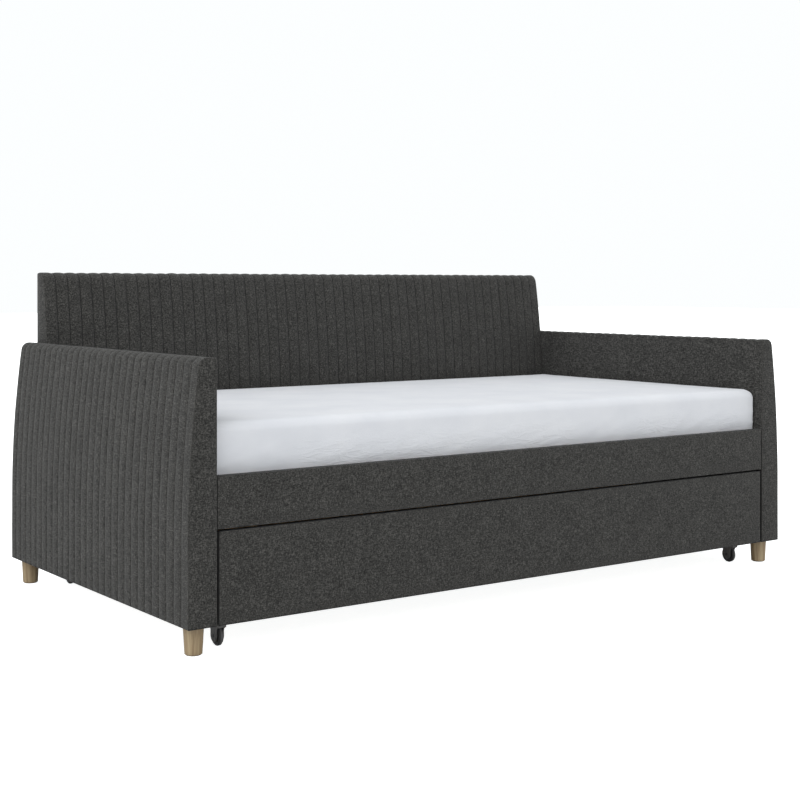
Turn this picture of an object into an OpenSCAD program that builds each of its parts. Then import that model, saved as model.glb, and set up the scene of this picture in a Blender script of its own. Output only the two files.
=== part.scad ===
// Upholstered twin daybed with a mattress and a trundle that rolls out from underneath.
// Millimetres. The origin is on the floor under the middle: +X runs along the bed,
// +Y towards the back and +Z up.

/* [Overall] */
// Length across the outer faces of the arms
bed_l = 2087; // [2060:1:2200]
// Depth from the front of the rail to the rear of the back
bed_d = 1128; // [1120:1:1240]
// Height of the back
back_h = 915; // [850:1:1000]
// Height of the arms
arm_h = 707; // [660:1:780]
// Height of the panels' undersides above the floor
floor_gap = 70; // [68:1:90]

/* [Upholstered panels] */
// Thickness of an arm at its foot
arm_t = 76; // [70:1:90]
// Thickness of the back at its foot
back_t = 87; // [80:1:100]
// How far below its top a panel starts to curve in
curve_drop = 450; // [350:1:480]
// Radius of the arms' outer curve
arm_curve_r = 3250; // [2800:10:5000]
// Radius of the back's front curve
back_curve_r = 2404; // [2200:10:4000]
// Radius of the arms' top outer edge
arm_edge_r = 22; // [16:1:24]
// Radius of the back's top front edge
back_edge_r = 30; // [20:1:32]
// Thickness of the padding and fabric
cover_t = 8; // [6:1:10]

/* [Front rail and slats] */
// Height of the rail's lower edge above the floor
rail_z = 299.5; // [299.5:0.5:310]
// Height of the rail's upper edge above the floor
rail_top = 426; // [400:1:450]
// Thickness of the upholstered rail
rail_t = 26; // [24:1:30]
// Width of a slat
slat_w = 70; // [50:1:80]
// Thickness of a slat of the daybed
slat_t = 18; // [16:1:18]
// Number of slats in the daybed
slat_count = 12; // [8:1:12]

/* [Mattress] */
// Length of the mattress
mattress_l = 1922; // [1850:1:1925]
// Depth of the mattress
mattress_d = 1000; // [960:1:1004]
// Thickness of the mattress
mattress_t = 204.7; // [150:0.1:250]
// Radius of the mattress's level edges
mattress_r = 30; // [20:1:50]
// Radius of the mattress's upright edges
mattress_corner_r = 10; // [5:1:50]

/* [Trundle] */
// Length of the trundle's front
trundle_l = 1925; // [1900:1:1928]
// Height of the trundle front's upper edge above the floor
trundle_top = 294.5; // [270:0.5:295]
// Height of the trundle's sides above the floor
trundle_side_top = 200; // [170:1:220]
// Number of slats in the trundle
trundle_slat_count = 10; // [8:1:12]

/* [Legs and casters] */
// Diameter of a leg at the top
leg_top_d = 50.5; // [44:0.5:52]
// Diameter of a leg at the foot
leg_foot_d = 43; // [36:0.1:44]
// How far a leg's centre is from the front or the rear
leg_setback = 48; // [40:1:80]
// Diameter of a caster wheel
wheel_d = 50; // [46:1:52]
// Width of a caster wheel's tread
wheel_w = 12; // [12:1:18]
// How far the front casters are behind the trundle's front
front_caster_setback = 92; // [88:1:200]
// How far the rear casters are from the rear of the daybed
rear_caster_setback = 134; // [134:1:260]

/* [Hidden] */
$fn = 64;
front_y = -bed_d / 2;
rear_y = bed_d / 2;
arm_x = bed_l / 2 - arm_t;
seam = 1;
fit_gap = 0.5;
rest_gap = 0.3;
overcut = 1;
curve_steps = 12;
edge_steps = 6;
charcoal = "#3c3c3d";
lining = "#1d1d1e";
pine = "#d9bd8c";
plywood = "#c9a676";
oak = "#a88a62";
steel = "#3a3b3e";
black = "#17181a";
webbing = "#e8e4da";

// Wooden frames inside the arms and the back
ply_t = 12;
rib_t = 18;
dust_t = 1.5;
frame_z = floor_gap + dust_t;
bottom_rail_h = 40;
arm_rib_count = 7;
back_rib_count = 11;
back_l = 2 * (arm_x - seam);
back_face_y = rear_y - back_t;

// Front rail
edge_pad = 5;
rail_l = back_l;
rail_face_y = front_y + rail_t;

// Slats and the ledges that carry them
ledge_w = 24;
ledge_h = 24;
ledge_z = rail_z + fit_gap;
ledge_l = 1810;
slat_z = ledge_z + ledge_h;
slat_end_gap = 2;
mattress_z = slat_z + slat_t + rest_gap;
back_rail_drop = 10;
back_rail_z = ledge_z - back_rail_drop;
back_rail_h = 50;
tape_w = 25;
tape_t = 1;
tape_ys = [-300, 240];

// Corner brackets and the bolts that hold the daybed together
bracket_l = 60;
bracket_h = 38;
bracket_t = 3;
bracket_lift = 1;
bracket_z = ledge_z + bracket_lift;
bolt_z = bracket_z + bracket_h / 2;
bolt_r = 3;
bolt_head_r = 5.5;
bolt_head_h = 3.5;
bolt_depth = 15;
bracket_bolts_at = [22, 44];
arm_bolt_l = bracket_t + cover_t + ply_t;
ledge_bolt_xs = [-800, -400, 0, 400, 800];
ledge_bolt_z = ledge_z + ledge_h / 2;

// Legs
leg_inset = 38.3;
leg_x = arm_x + leg_inset;
leg_ys = [front_y + leg_setback, rear_y - leg_setback];
leg_ease = 1;
leg_bolt_r = 4;
leg_bolt_down = 30;
leg_bolt_up = 35;
glide_h = 2;
glide_r = 18;

// Trundle box
side_t = 12;
side_x = trundle_l / 2 - fit_gap;
box_lift = 5;
box_z = floor_gap + box_lift;
back_board_t = 15;
box_rear_gap = 15;
box_rear_y = back_face_y - box_rear_gap;
box_inner_x = side_x - side_t;
box_inner_rear_y = box_rear_y - back_board_t;
runner_w = 65;
runner_h = 29;
runner_x = box_inner_x - runner_w;
trundle_ledge_z = box_z + runner_h - ledge_h;
trundle_ledge_inset = 40;
trundle_ledge_x = runner_x - trundle_ledge_inset;
trundle_slat_t = 15;
trundle_slat_z = box_z + runner_h;
trundle_slat_inset = 45;
trundle_slat_x = runner_x - trundle_slat_inset;
trundle_tape_ys = [-250, 180];
trundle_bracket_l = 40;
trundle_bracket_h = 25;
trundle_bracket_lift = 2;
trundle_bracket_z = box_z + trundle_bracket_lift;
trundle_bolt_z = trundle_bracket_z + trundle_bracket_h / 2;
trundle_bolt_at = 23;
screw_r = 2.5;
screw_head_r = 4.5;
screw_head_h = 3;
side_screw_l = 45;
side_screw_ys = [-400, -100, 200];
side_screw_up = 14;
side_screw_z = box_z + side_screw_up;
rear_screw_ups = [34, 94];

// Casters
wheel_r = wheel_d / 2;
caster_outset = 0.5;
caster_x = runner_x + runner_w / 2 + caster_outset;
caster_ys = [front_y + front_caster_setback, rear_y - rear_caster_setback];
plate_t = 3;
plate_w = 54;
plate_d = 54;
plate_z = box_z - plate_t;
plate_hole_x = 20;
plate_hole_y = 17;
plate_screw_r = 2.25;
plate_screw_l = 22;
plate_head_r = 4;
plate_head_h = 2;
fork_w = 22;
wheel_side_gap = 2.5;
fork_gap = wheel_w + 2 * wheel_side_gap;
fork_top_d = 52;
fork_foot_r = 15;
fork_flare_z = 12;
fork_foot_steps = 24;
fork_flare_steps = 8;
wheel_clearance = 5;
axle_r = 4;
axle_end = 1;
axle_l = fork_w + 2 * axle_end;
bore_gap = 0.05;
bore_r = axle_r + bore_gap;
hub_stand = 1.5;
hub_w = wheel_w + 2 * hub_stand;
hub_r = 9;
web_inset = 2;
web_w = wheel_w - 2 * web_inset;
tread_r = 17;
tread_chamfer = 3;

ends = [["front", 0], ["rear", 1]];
sides = [["left", -1], ["right", 1]];

// ---- Helpers ----

// count values from first to last, evenly apart
function spread(count, first, last) = [for (i = [0:count - 1]) first + (last - first) * i / (count - 1)];

// Points along an arc of radius r about c, leaving out the first skip of them
function arc(c, r, from, to, steps, skip = 0) =
    [for (i = [skip:steps]) let (a = from + (to - from) * i / steps) c + r * [cos(a), sin(a)]];

// Outline of an upholstered panel across its thickness: flat on one side, curving in
// towards the top on the other, with a rounded top edge. x is measured from the flat side.
// skin moves every side inwards, and slack moves the curved side and the top further.
function panel_outline(t, h, curve_r, edge_r, foot, skin, slack) =
    let (
        inset = skin + slack,
        curve_c = [t - curve_r, h - curve_drop],
        edge_y = h - edge_r,
        edge_x = curve_c[0] + sqrt(pow(curve_r - edge_r, 2) - pow(edge_y - curve_c[1], 2)),
        turn = atan2(edge_y - curve_c[1], edge_x - curve_c[0])
    )
    concat(
        [[skin, foot], [t - inset, foot]],
        arc(curve_c, curve_r - inset, 0, turn, curve_steps),
        arc([edge_x, edge_y], edge_r - inset, turn, 90, edge_steps, skip = 1),
        [[skin, h - inset]]
    );

// A box between two corners
module block(from, to) {
    translate(from)
        cube(to - from);
}

// The children as they are for side 1, or mirrored to the left for side -1
module on_side(side) {
    mirror([side < 0 ? 1 : 0, 0, 0])
        children();
}

// The children at the front for end 0, or at the rear for end 1
module at_leg(end) {
    translate([leg_x, leg_ys[end], 0])
        children();
}

// A bolt whose head sits on the origin's +Z side and whose shank runs down -Z
module bolt(length, r = bolt_r, head_r = bolt_head_r, head_h = bolt_head_h) {
    cylinder(h = head_h, r = head_r);
    translate([0, 0, -length])
        cylinder(h = length + head_h / 2, r = r);
}

// A countersunk screw whose head's face is at the origin
module flush_screw(length) {
    translate([0, 0, -screw_head_h])
        cylinder(h = screw_head_h, r = screw_head_r);
    translate([0, 0, -length])
        cylinder(h = length - screw_head_h / 2, r = screw_r);
}

// ---- Arms and back ----

// The right arm's outline, run from front to rear
module arm_solid(foot, skin = 0, slack = 0) {
    translate([arm_x, rear_y - skin, 0])
        rotate([90, 0, 0])
            linear_extrude(bed_d - 2 * skin)
                polygon(panel_outline(arm_t, arm_h, arm_curve_r, arm_edge_r, foot, skin, slack));
}

// The back's outline, run from arm to arm
module back_solid(foot, skin = 0, slack = 0) {
    translate([-back_l / 2 + skin, rear_y, 0])
        mirror([0, 1, 0])
            rotate([90, 0, 90])
                linear_extrude(back_l - 2 * skin)
                    polygon(panel_outline(back_t, back_h, back_curve_r, back_edge_r, foot, skin, slack));
}

// The bolts that run through the corner brackets into the right arm, at both ends
module arm_bolts() {
    for (b = bracket_bolts_at, y = [rail_face_y + b, back_face_y - b])
        translate([arm_x - bracket_t, y, bolt_z])
            rotate([0, -90, 0])
                bolt(arm_bolt_l);
}

// The bolts that run through the right front bracket into the rail
module rail_bolts() {
    for (b = bracket_bolts_at)
        translate([arm_x - b, rail_face_y + bracket_t, bolt_z])
            rotate([-90, 0, 0])
                bolt(bracket_t + bolt_depth);
}

// The bolts that run through the right rear bracket into the back
module back_bolts() {
    for (b = bracket_bolts_at)
        translate([arm_x - b, back_face_y - bracket_t, bolt_z])
            rotate([90, 0, 0])
                bolt(bracket_t + cover_t + bolt_depth);
}

// The bolts that run through the front ledge into the rail
module front_ledge_bolts() {
    for (x = ledge_bolt_xs)
        translate([x, rail_face_y + ledge_w, ledge_bolt_z])
            rotate([-90, 0, 0])
                bolt(ledge_w + bolt_depth);
}

// The bolts that run through the rear ledge into the back
module rear_ledge_bolts() {
    for (x = ledge_bolt_xs)
        translate([x, back_face_y - ledge_w, ledge_bolt_z])
            rotate([90, 0, 0])
                bolt(ledge_w + cover_t + bolt_depth);
}

// The right side's hanger bolts, which join the legs to the arm
module side_leg_bolts() {
    for (end = [0, 1])
        at_leg(end)
            translate([0, 0, floor_gap - leg_bolt_down])
                cylinder(h = leg_bolt_down + leg_bolt_up, r = leg_bolt_r);
}

// An inner panel, a bottom rail and ribs, glued into one frame
module arm_frame() {
    color(plywood)
        difference() {
            intersection() {
                arm_solid(frame_z, cover_t, fit_gap);
                union() {
                    block([arm_x, front_y, 0], [arm_x + cover_t + ply_t, rear_y, arm_h]);
                    block([arm_x, front_y, 0], [arm_x + arm_t, rear_y, frame_z + bottom_rail_h]);
                    for (y = spread(arm_rib_count, front_y + cover_t, rear_y - cover_t - rib_t))
                        block([arm_x, y, 0], [arm_x + arm_t, y + rib_t, arm_h]);
                }
            }
            arm_bolts();
            side_leg_bolts();
        }
}

// Padding and fabric round the arm, open underneath
module arm_cover() {
    color(charcoal)
        difference() {
            arm_solid(floor_gap);
            arm_solid(floor_gap - overcut, cover_t);
            arm_bolts();
        }
}

// The lining that closes the arm's underside
module arm_dust_cover() {
    color(lining)
        difference() {
            block(
                [arm_x + cover_t, front_y + cover_t, floor_gap],
                [arm_x + arm_t - cover_t, rear_y - cover_t, frame_z]
            );
            side_leg_bolts();
        }
}

// A rear panel, a bottom rail, a rail behind the ledge and ribs, glued into one frame
module back_frame() {
    ply_y = rear_y - cover_t - ply_t;
    rib_x = back_l / 2 - cover_t;
    color(plywood)
        difference() {
            intersection() {
                back_solid(frame_z, cover_t, fit_gap);
                union() {
                    block([-back_l / 2, ply_y, 0], [back_l / 2, rear_y, back_h]);
                    block([-back_l / 2, back_face_y, 0], [back_l / 2, rear_y, frame_z + bottom_rail_h]);
                    block(
                        [-back_l / 2, back_face_y, back_rail_z],
                        [back_l / 2, rear_y, back_rail_z + back_rail_h]
                    );
                    for (x = spread(back_rib_count, -rib_x, rib_x - rib_t))
                        block([x, back_face_y, 0], [x + rib_t, rear_y, back_h]);
                }
            }
            rear_ledge_bolts();
            for (side = [-1, 1])
                on_side(side)
                    back_bolts();
        }
}

// Padding and fabric round the back, open underneath
module back_cover() {
    color(charcoal)
        difference() {
            back_solid(floor_gap);
            back_solid(floor_gap - overcut, cover_t);
            rear_ledge_bolts();
            for (side = [-1, 1])
                on_side(side)
                    back_bolts();
        }
}

// The lining that closes the back's underside
module back_dust_cover() {
    color(lining)
        block(
            [-back_l / 2 + cover_t, back_face_y + cover_t, floor_gap],
            [back_l / 2 - cover_t, rear_y - cover_t, frame_z]
        );
}

// ---- Legs ----

// A turned leg that tapers towards the foot, whose edge is eased
module leg(end) {
    taper = (leg_top_d - leg_foot_d) / (floor_gap - glide_h);
    eased_d = leg_foot_d + taper * leg_ease;
    color(oak)
        difference() {
            at_leg(end)
                translate([0, 0, glide_h]) {
                    cylinder(h = leg_ease, d1 = leg_foot_d - 2 * leg_ease, d2 = eased_d);
                    translate([0, 0, leg_ease])
                        cylinder(h = floor_gap - glide_h - leg_ease, d1 = eased_d, d2 = leg_top_d);
                }
            side_leg_bolts();
        }
}

module leg_bolts() {
    color(steel)
        for (side = [-1, 1])
            on_side(side)
                side_leg_bolts();
}

// The pads under the legs
module leg_glides() {
    color(black)
        for (side = [-1, 1], end = [0, 1])
            on_side(side)
                at_leg(end)
                    cylinder(h = glide_h, r = glide_r);
}

// ---- Front rail ----

// The boards behind the upholstered fronts: a box from x = -l/2 to l/2
module front_board(l, foot, top) {
    block(
        [-l / 2 + edge_pad, front_y + cover_t, foot + edge_pad],
        [l / 2 - edge_pad, rail_face_y, top - edge_pad]
    );
}

// Padding and fabric over a front board, open at the rear where the board shows
module front_cover(l, foot, top) {
    difference() {
        block([-l / 2, front_y, foot], [l / 2, rail_face_y, top]);
        block(
            [-l / 2 + edge_pad, front_y + cover_t, foot + edge_pad],
            [l / 2 - edge_pad, rail_face_y + overcut, top - edge_pad]
        );
    }
}

module rail_board() {
    color(plywood)
        difference() {
            front_board(rail_l, rail_z, rail_top);
            front_ledge_bolts();
            for (side = [-1, 1])
                on_side(side)
                    rail_bolts();
        }
}

module rail_cover() {
    color(charcoal)
        front_cover(rail_l, rail_z, rail_top);
}

// ---- Slats, ledges and corner brackets of the daybed ----

module front_slat_ledge() {
    color(pine)
        difference() {
            block([-ledge_l / 2, rail_face_y, ledge_z], [ledge_l / 2, rail_face_y + ledge_w, slat_z]);
            front_ledge_bolts();
        }
}

module rear_slat_ledge() {
    color(pine)
        difference() {
            block([-ledge_l / 2, back_face_y - ledge_w, ledge_z], [ledge_l / 2, back_face_y, slat_z]);
            rear_ledge_bolts();
        }
}

// An angle in the right front corner for end 0, or the right rear corner for end 1
module bracket(end) {
    corner_y = end == 0 ? rail_face_y : back_face_y;
    inwards = end == 0 ? 1 : -1;
    color(steel)
        difference() {
            translate([arm_x, corner_y, bracket_z])
                mirror([0, inwards < 0 ? 1 : 0, 0]) {
                    translate([-bracket_l, 0, 0])
                        cube([bracket_l, bracket_t, bracket_h]);
                    translate([-bracket_t, 0, 0])
                        cube([bracket_t, bracket_l, bracket_h]);
                }
            arm_bolts();
            rail_bolts();
            back_bolts();
        }
}

// Every bolt in the corner brackets and the ledges
module frame_bolts() {
    color(steel) {
        front_ledge_bolts();
        rear_ledge_bolts();
        for (side = [-1, 1])
            on_side(side) {
                arm_bolts();
                rail_bolts();
                back_bolts();
            }
    }
}

// The slat with this number, counted from the left
module slat(number) {
    x = spread(slat_count, -(ledge_l - slat_w) / 2, (ledge_l - slat_w) / 2)[number - 1];
    color(pine)
        block(
            [x - slat_w / 2, rail_face_y + slat_end_gap, slat_z],
            [x + slat_w / 2, back_face_y - slat_end_gap, slat_z + slat_t]
        );
}

// Two strips stapled under the slats, which keep them apart
module slat_tapes() {
    color(webbing)
        for (y = tape_ys)
            block([-ledge_l / 2, y, slat_z - tape_t], [ledge_l / 2, y + tape_w, slat_z]);
}

// ---- Mattress ----

// A centred rectangle with rounded corners
module rounded_rect(w, h, r) {
    polygon([
        for (c = [[1, 1, 0], [-1, 1, 90], [-1, -1, 180], [1, -1, 270]])
            for (p = arc([c[0] * (w / 2 - r), c[1] * (h / 2 - r)], r, c[2], c[2] + 90, edge_steps)) p
    ]);
}

// A block with rounded edges: three rounded outlines, each run through along its own axis
module mattress() {
    mattress_y = rail_face_y + slat_end_gap + mattress_d / 2;
    color("white")
        translate([0, mattress_y, mattress_z + mattress_t / 2])
            intersection() {
                linear_extrude(mattress_t, center = true)
                    rounded_rect(mattress_l, mattress_d, mattress_corner_r);
                rotate([90, 0, 0])
                    linear_extrude(mattress_d, center = true)
                        rounded_rect(mattress_l, mattress_t, mattress_r);
                rotate([90, 0, 90])
                    linear_extrude(mattress_l, center = true)
                        rounded_rect(mattress_d, mattress_t, mattress_r);
            }
}

// ---- Trundle box ----

// The bolts that join the right front bracket to the trundle's front and runner
module trundle_bolts() {
    translate([runner_x - trundle_bolt_at, rail_face_y + bracket_t, trundle_bolt_z])
        rotate([-90, 0, 0])
            bolt(bracket_t + bolt_depth);
    translate([runner_x - bracket_t, rail_face_y + trundle_bolt_at, trundle_bolt_z])
        rotate([0, -90, 0])
            bolt(bracket_t + bolt_depth);
}

// The screws that run through the right side into the runner and the back board
module side_screws() {
    for (y = side_screw_ys)
        translate([side_x, y, side_screw_z])
            rotate([0, 90, 0])
                flush_screw(side_screw_l);
    for (up = rear_screw_ups)
        translate([side_x, box_rear_y - back_board_t / 2, box_z + up])
            rotate([0, 90, 0])
                flush_screw(side_screw_l);
}

// The screws that hold the right side's casters to the runner
module caster_screws() {
    for (y = caster_ys, px = [-1, 1] * plate_hole_x, py = [-1, 1] * plate_hole_y)
        translate([caster_x + px, y + py, plate_z])
            rotate([180, 0, 0])
                bolt(plate_t + plate_screw_l, plate_screw_r, plate_head_r, plate_head_h);
}

module trundle_front_board() {
    color(plywood)
        difference() {
            front_board(trundle_l, floor_gap, trundle_top);
            for (side = [-1, 1])
                on_side(side)
                    trundle_bolts();
        }
}

module trundle_front_cover() {
    color(charcoal)
        front_cover(trundle_l, floor_gap, trundle_top);
}

module trundle_side() {
    color(plywood)
        difference() {
            block([box_inner_x, rail_face_y, box_z], [side_x, box_rear_y, trundle_side_top]);
            side_screws();
        }
}

module trundle_back_board() {
    color(plywood)
        difference() {
            block([-box_inner_x, box_inner_rear_y, box_z], [box_inner_x, box_rear_y, trundle_side_top]);
            for (side = [-1, 1])
                on_side(side) {
                    side_screws();
                    caster_screws();
                }
        }
}

// The rail along the right side that carries the casters
module trundle_runner() {
    color(pine)
        difference() {
            block([runner_x, rail_face_y, box_z], [box_inner_x, box_inner_rear_y, trundle_slat_z]);
            side_screws();
            caster_screws();
            trundle_bolts();
        }
}

module trundle_front_ledge() {
    color(pine)
        block(
            [-trundle_ledge_x, rail_face_y, trundle_ledge_z],
            [trundle_ledge_x, rail_face_y + ledge_w, trundle_slat_z]
        );
}

module trundle_rear_ledge() {
    color(pine)
        block(
            [-trundle_ledge_x, box_inner_rear_y - ledge_w, trundle_ledge_z],
            [trundle_ledge_x, box_inner_rear_y, trundle_slat_z]
        );
}

module trundle_slats() {
    color(pine)
        for (x = spread(trundle_slat_count, -trundle_slat_x, trundle_slat_x))
            block(
                [x - slat_w / 2, rail_face_y + slat_end_gap, trundle_slat_z],
                [x + slat_w / 2, box_inner_rear_y - slat_end_gap, trundle_slat_z + trundle_slat_t]
            );
}

module trundle_slat_tapes() {
    color(webbing)
        for (y = trundle_tape_ys)
            block(
                [-trundle_slat_x - slat_w / 2, y, trundle_slat_z - tape_t],
                [trundle_slat_x + slat_w / 2, y + tape_w, trundle_slat_z]
            );
}

// The angles that join the runners to the trundle's front
module trundle_brackets() {
    color(steel)
        for (side = [-1, 1])
            on_side(side)
                difference() {
                    translate([runner_x, rail_face_y, trundle_bracket_z]) {
                        translate([-trundle_bracket_l, 0, 0])
                            cube([trundle_bracket_l, bracket_t, trundle_bracket_h]);
                        translate([-bracket_t, 0, 0])
                            cube([bracket_t, trundle_bracket_l, trundle_bracket_h]);
                    }
                    trundle_bolts();
                }
}

// Every screw and bolt of the trundle
module trundle_screws() {
    color(steel)
        for (side = [-1, 1])
            on_side(side) {
                trundle_bolts();
                side_screws();
                caster_screws();
            }
}

// ---- Casters ----

// The children with their origin at the right front axle for end 0, or the right rear for end 1
module at_axle(end) {
    translate([caster_x, caster_ys[end], wheel_r])
        children();
}

// A cylinder along X, centred on the axle
module along_axle(length, r) {
    rotate([0, 90, 0])
        cylinder(h = length, r = r, center = true);
}

// Outline of a fork seen along its axle: a round foot that flares out into the hood
function fork_outline(top) =
    let (half = fork_top_d / 2)
    concat(
        arc([0, 0], fork_foot_r, 180, 360, fork_foot_steps),
        arc([half, fork_flare_z], half - fork_foot_r, 180, 90, fork_flare_steps),
        [[half, top], [-half, top]],
        arc([-half, fork_flare_z], half - fork_foot_r, 90, 0, fork_flare_steps)
    );

// A fixed caster's plate, with a fork that arches over the wheel
module caster_fork(end) {
    top = plate_z - wheel_r;
    color(black)
        difference() {
            at_axle(end)
                difference() {
                    union() {
                        translate([-plate_w / 2, -plate_d / 2, top])
                            cube([plate_w, plate_d, plate_t]);
                        translate([-fork_w / 2, 0, 0])
                            rotate([90, 0, 90])
                                linear_extrude(fork_w)
                                    polygon(fork_outline(top));
                    }
                    along_axle(fork_gap, wheel_r + wheel_clearance);
                    along_axle(axle_l, axle_r);
                }
            caster_screws();
        }
}

// A solid wheel with a raised hub and a chamfered tread
module caster_wheel(end) {
    half_tread = wheel_w / 2;
    color(black)
        at_axle(end)
            rotate([0, 90, 0])
                rotate_extrude()
                    polygon([
                        [bore_r, -hub_w / 2],
                        [hub_r, -hub_w / 2],
                        [hub_r, -web_w / 2],
                        [tread_r, -web_w / 2],
                        [tread_r, -half_tread],
                        [wheel_r - tread_chamfer, -half_tread],
                        [wheel_r, tread_chamfer - half_tread],
                        [wheel_r, half_tread - tread_chamfer],
                        [wheel_r - tread_chamfer, half_tread],
                        [tread_r, half_tread],
                        [tread_r, web_w / 2],
                        [hub_r, web_w / 2],
                        [hub_r, hub_w / 2],
                        [bore_r, hub_w / 2]
                    ]);
}

module caster_axles() {
    color(steel)
        for (side = [-1, 1], end = [0, 1])
            on_side(side)
                at_axle(end)
                    along_axle(axle_l, axle_r);
}

// ---- Nodes ----

for (s = sides) {
    on_side(s[1]) arm_frame();
    on_side(s[1]) arm_cover();
    on_side(s[1]) arm_dust_cover();
    on_side(s[1]) trundle_side();
    on_side(s[1]) trundle_runner();
}
for (e = ends, s = sides) {
    corner = str(e[0], "_", s[0]);
    on_side(s[1]) leg(e[1]);
    on_side(s[1]) bracket(e[1]);
    on_side(s[1]) caster_fork(e[1]);
    on_side(s[1]) caster_wheel(e[1]);
}
for (i = [1:slat_count])
    slat(i);
back_frame();
back_cover();
back_dust_cover();
rail_board();
rail_cover();
leg_bolts();
leg_glides();
front_slat_ledge();
rear_slat_ledge();
frame_bolts();
slat_tapes();
mattress();
trundle_front_board();
trundle_front_cover();
trundle_back_board();
trundle_front_ledge();
trundle_rear_ledge();
trundle_slats();
trundle_slat_tapes();
trundle_brackets();
trundle_screws();
caster_axles();
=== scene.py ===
"""Looks of the trundle bed: upholstery, mattress, wood, metal, plastic, light and camera.

Everything is in metres in the part's own frame: +X along the bed, +Y to the back, +Z up.
"""

import fnmatch
import math

import bmesh
import bpy
import numpy as np
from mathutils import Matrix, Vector, noise


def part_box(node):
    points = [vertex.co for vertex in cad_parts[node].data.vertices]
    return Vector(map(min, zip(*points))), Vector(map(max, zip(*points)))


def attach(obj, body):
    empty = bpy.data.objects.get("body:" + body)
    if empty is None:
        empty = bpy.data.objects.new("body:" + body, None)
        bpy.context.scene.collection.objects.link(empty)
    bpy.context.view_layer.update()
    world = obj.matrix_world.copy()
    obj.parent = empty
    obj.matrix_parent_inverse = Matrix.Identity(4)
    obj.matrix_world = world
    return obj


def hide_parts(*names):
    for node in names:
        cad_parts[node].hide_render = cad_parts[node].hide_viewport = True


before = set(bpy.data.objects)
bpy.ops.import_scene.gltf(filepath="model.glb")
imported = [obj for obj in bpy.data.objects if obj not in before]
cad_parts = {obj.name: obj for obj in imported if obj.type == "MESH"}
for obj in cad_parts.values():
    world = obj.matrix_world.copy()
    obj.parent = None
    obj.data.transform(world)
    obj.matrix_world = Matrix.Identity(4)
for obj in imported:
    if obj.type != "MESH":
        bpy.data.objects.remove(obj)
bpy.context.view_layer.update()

# Camera: level, turned from the back's direction towards the right
CAMERA_PLACE = (-2.614, -3.600, 0.879)
CAMERA_TURN = -35.668
CAMERA_LENS = 65.1
CAMERA_SHIFT = -0.1435

# Light: the sky's colour, how bright it is on its dim and on its bright side, and where that is
SKY_COLOR = (0.975, 0.995, 1.0, 1)
SKY_DIM = 0.50
SKY_BRIGHT = 1.12
SKY_SIDE = (-0.45, -0.45, 0.77)
KEY_PLACE = (-7.8, -3.4, 8.4)
KEY_AIM = (0, 0, 0.4)
KEY_SIZE = 7.0
KEY_WATTS = 305

# Floor: how far it reaches, and how much it glows to the camera alone
FLOOR_REACH = 40
FLOOR_GLOW = 0.92

# Radii and thicknesses of the upholstered panels, the same as in the part
COVER_T = 0.008
CURVE_DROP = 0.450
ARM_CURVE_R = 3.250
ARM_EDGE_R = 0.022
BACK_CURVE_R = 2.404
BACK_EDGE_R = 0.030

# Other edges of the channelled panels: inner top edge, ends, and foot
INNER_EDGE_R = 0.005
END_EDGE_R = 0.0022
FOOT_EDGE_R = 0.0012
FOOT_RISE = 0.002
RIM_HEIGHT = 0.006

# Rows over a channelled panel's foot, curve, outer edge and top, and columns over a channel
FOOT_ROWS = 8
CURVE_ROWS = 16
EDGE_ROWS = 8
TOP_ROWS = 8
CHANNEL_COLUMNS = 12
END_COLUMNS = 6

# Sewn channels: their width from the front or the left, how far they swell between two seams,
# how much painted shade darkens the creases along their seams, and how far the ends of the panel are
# crowned
ARM_CHANNEL = 0.0392
ARM_SWELL = 0.0033
ARM_SEAM_SHADE = 0.20
ARM_END_CROWN = 0.0012
BACK_CHANNEL = 0.0380
BACK_SWELL = 0.0040
BACK_SEAM_SHADE = 1.0
BACK_END_CROWN = 0.003
# How far the painted shade reaches either side of the seams
SEAM_SHADE_WIDTH = 0.0024

# How much the swell varies from channel to channel and within each, as shares of it, the share
# of it that lies behind the panel's own surface, and how far the whole surface wanders
CHANNEL_UNEVEN = 0.22
CLOTH_UNEVEN = 0.10
SWELL_BEHIND = 0.55
PANEL_WANDER = 0.0006

# Painted shade: along the foot of the covers, where the fabric turns under, and on fabric in a gap, where
# 1 or more is darkest
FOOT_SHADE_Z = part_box("left_arm_cover")[0].z + 0.0035
FOOT_SHADE_SHARPNESS = 650.0
FOOT_SHADE_DARK = 0.9
GAP_SHADE_DARK = 1.1
GAP_SHADE_DEPTH = 0.04

# Smooth fronts of the rail and the trundle: swell, edge radius, and columns across
FRONT_PUFF = 0.0016
FRONT_EDGE_R = 0.0020
FRONT_COLUMNS = 180

# Mattress: edges, crown, cloth swell, how far it passes the slack of its bay, and its tuck
MATTRESS_EDGE_R = 0.026
MATTRESS_CORNER_R = 0.006
MATTRESS_CROWN = 0.0025
MATTRESS_SWELL = 0.002
MATTRESS_REACH = 0.0035
MATTRESS_TUCK_Z = 0.425
MATTRESS_TUCK_RISE = 0.065
MATTRESS_TUCK = 0.006
MATTRESS_FOLD = 0.0022
MATTRESS_CELL = 0.0165
CLOTH_FRAMES = 20

# Spacing of the threads that the weaves repeat at
TWEED_THREAD = 0.0019
KNIT_THREAD = 0.0016

# Dark, middle and light tones of the solid woods
PINE = ((0.43, 0.27, 0.12), (0.62, 0.44, 0.23), (0.72, 0.55, 0.32))
OAK = ((0.230, 0.159, 0.086), (0.340, 0.252, 0.148), (0.430, 0.335, 0.207))

# Distance within which vertices are the same
SAME = 0.00002


# ---- Camera, light and floor ----


def add_to_scene(name, data):
    obj = bpy.data.objects.new(name, data)
    bpy.context.scene.collection.objects.link(obj)
    return obj


def make_camera():
    data = bpy.data.cameras.new("camera")
    data.lens = CAMERA_LENS
    data.sensor_width = 36
    data.shift_y = CAMERA_SHIFT
    data.clip_end = 100
    camera = add_to_scene("camera", data)
    camera.location = CAMERA_PLACE
    camera.rotation_euler = (math.radians(90), 0, math.radians(CAMERA_TURN))
    bpy.context.scene.camera = camera


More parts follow.
